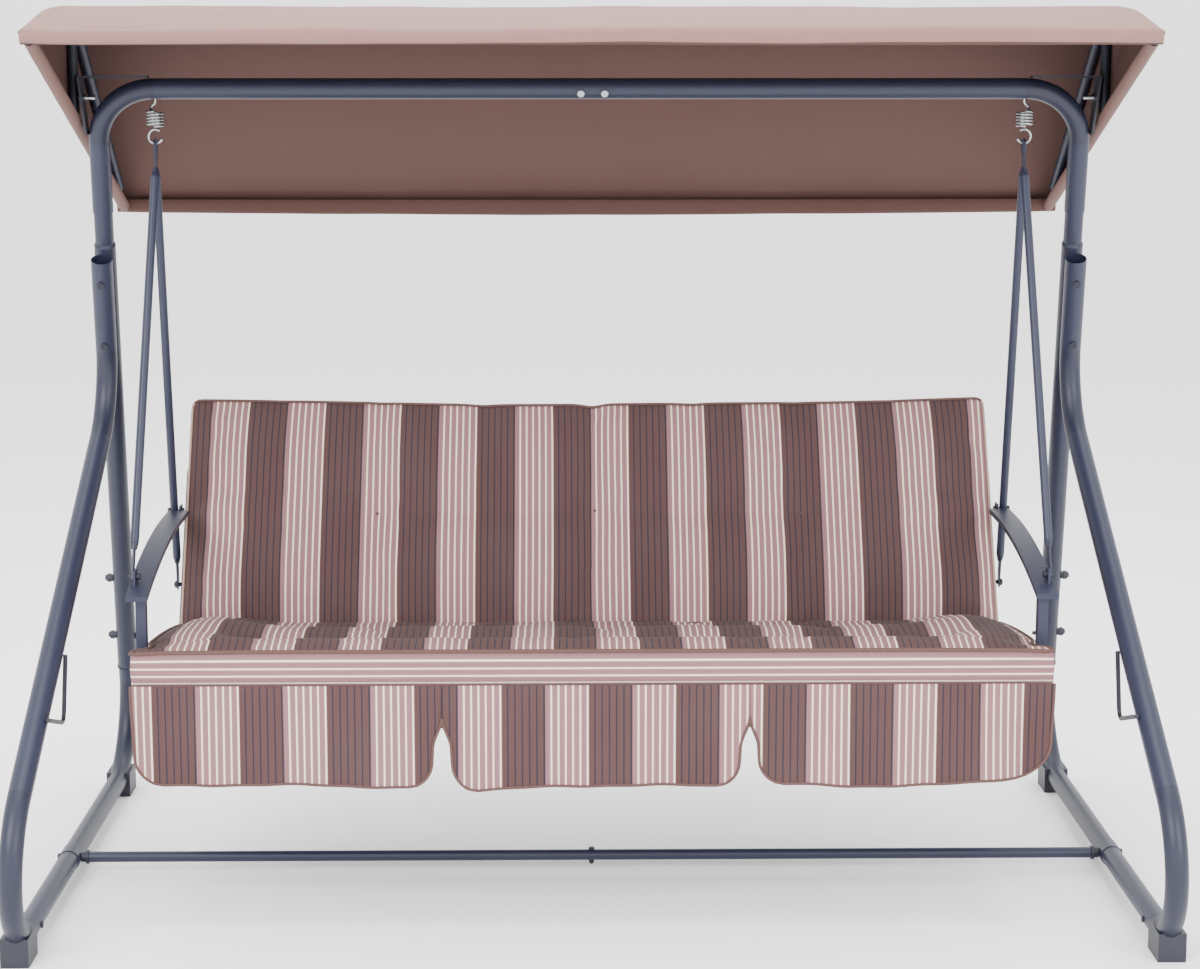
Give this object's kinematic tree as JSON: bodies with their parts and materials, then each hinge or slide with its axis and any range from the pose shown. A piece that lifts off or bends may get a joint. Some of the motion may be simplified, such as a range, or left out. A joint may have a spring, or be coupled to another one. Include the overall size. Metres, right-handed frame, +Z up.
{
  "type": "canopy swing bench",
  "caption": "Garden swing bench: a padded bench hung on springs from a bent-tube stand, under a tilting fabric canopy.",
  "frame": {"origin": "on the floor at the centre of the stand's footprint", "axes": "+X along the top beam towards the viewer's right, -Y the open front where people sit down, +Z up"},
  "size_m": [2, 1.2346, 1.605],
  "materials": {
    "powder_coat": "satin",
    "zinc_steel": "satin",
    "navy_plastic": "matte",
    "canopy_fabric": "matte",
    "striped_fabric": "matte",
    "skirt_fabric": "matte",
    "sling_fabric": "matte"
  },
  "bodies": {
    "frame": {"beam_left": "powder_coat", "beam_right": "powder_coat", "beam_splice": "powder_coat", "beam_bolts": "zinc_steel", "rear_leg_left": "powder_coat", "rear_leg_right": "powder_coat", "rear_base_left": "powder_coat", "rear_base_right": "powder_coat", "front_leg_left": "powder_coat", "front_leg_right": "powder_coat", "front_base_left": "powder_coat", "front_base_right": "powder_coat", "front_foot_left": "navy_plastic", "front_foot_right": "navy_plastic", "rear_foot_left": "navy_plastic", "rear_foot_right": "navy_plastic", "cross_bar_left": "powder_coat", "cross_bar_right": "powder_coat", "cross_bar_collars": "powder_coat", "cross_bar_bolts": "powder_coat", "leg_bolts": "powder_coat", "lower_leg_bolts": "zinc_steel", "cap_nuts": "navy_plastic", "wire_holder_left": "powder_coat", "wire_holder_right": "powder_coat", "canopy_bracket_left": "powder_coat", "canopy_bracket_right": "powder_coat"},
    "canopy": {"canopy_side_left": "powder_coat", "canopy_side_right": "powder_coat", "canopy_hem_left": "powder_coat", "canopy_hem_right": "powder_coat", "canopy_strut_left": "powder_coat", "canopy_strut_right": "powder_coat", "canopy_cross_bars": "powder_coat", "canopy_pivots": "zinc_steel", "canopy_plugs": "navy_plastic", "canopy_cover": "canopy_fabric"},
    "springs": {"spring_left": "zinc_steel", "spring_right": "zinc_steel", "spring_hooks": "zinc_steel"},
    "spring_rings": {"spring_rings": "zinc_steel"},
    "bench": {"hanger_front_left": "powder_coat", "hanger_front_right": "powder_coat", "hanger_rear_left": "powder_coat", "hanger_rear_right": "powder_coat", "seat_side_left": "powder_coat", "seat_side_right": "powder_coat", "seat_cross_rails": "powder_coat", "seat_sling": "sling_fabric", "back_frame": "powder_coat", "back_sling": "sling_fabric", "arm_left": "powder_coat", "arm_right": "powder_coat", "arm_posts": "powder_coat", "arm_ears": "powder_coat", "bench_bolts": "zinc_steel", "seat_cushion": "striped_fabric", "seat_skirt": "skirt_fabric", "back_cushion": "striped_fabric"}
  },
  "joints": [
    {"name": "canopy_tilt", "type": "hinge", "parent": "frame", "child": "canopy", "pos_m": [0, 0.0435, 1.44], "axis": [1, 0, 0], "range_deg": [-12, 12]},
    {"name": "hook_swing", "type": "hinge", "parent": "frame", "child": "springs", "pos_m": [0, 0.01926, 1.4407], "axis": [1, 0, 0], "range_deg": [-5, 5]},
    {"name": "spring_stretch", "type": "slide", "parent": "springs", "child": "spring_rings", "axis": [0, 0, -1], "range_m": [-0.004, 0.03], "stiffness_N_per_m": 20000, "springref_m": -0.01056, "deforming": ["spring_left", "spring_right"]},
    {"name": "seat_swing", "type": "hinge", "parent": "spring_rings", "child": "bench", "pos_m": [0, 0.01926, 1.357], "axis": [1, 0, 0], "range_deg": [-13, 13]}
  ]
}
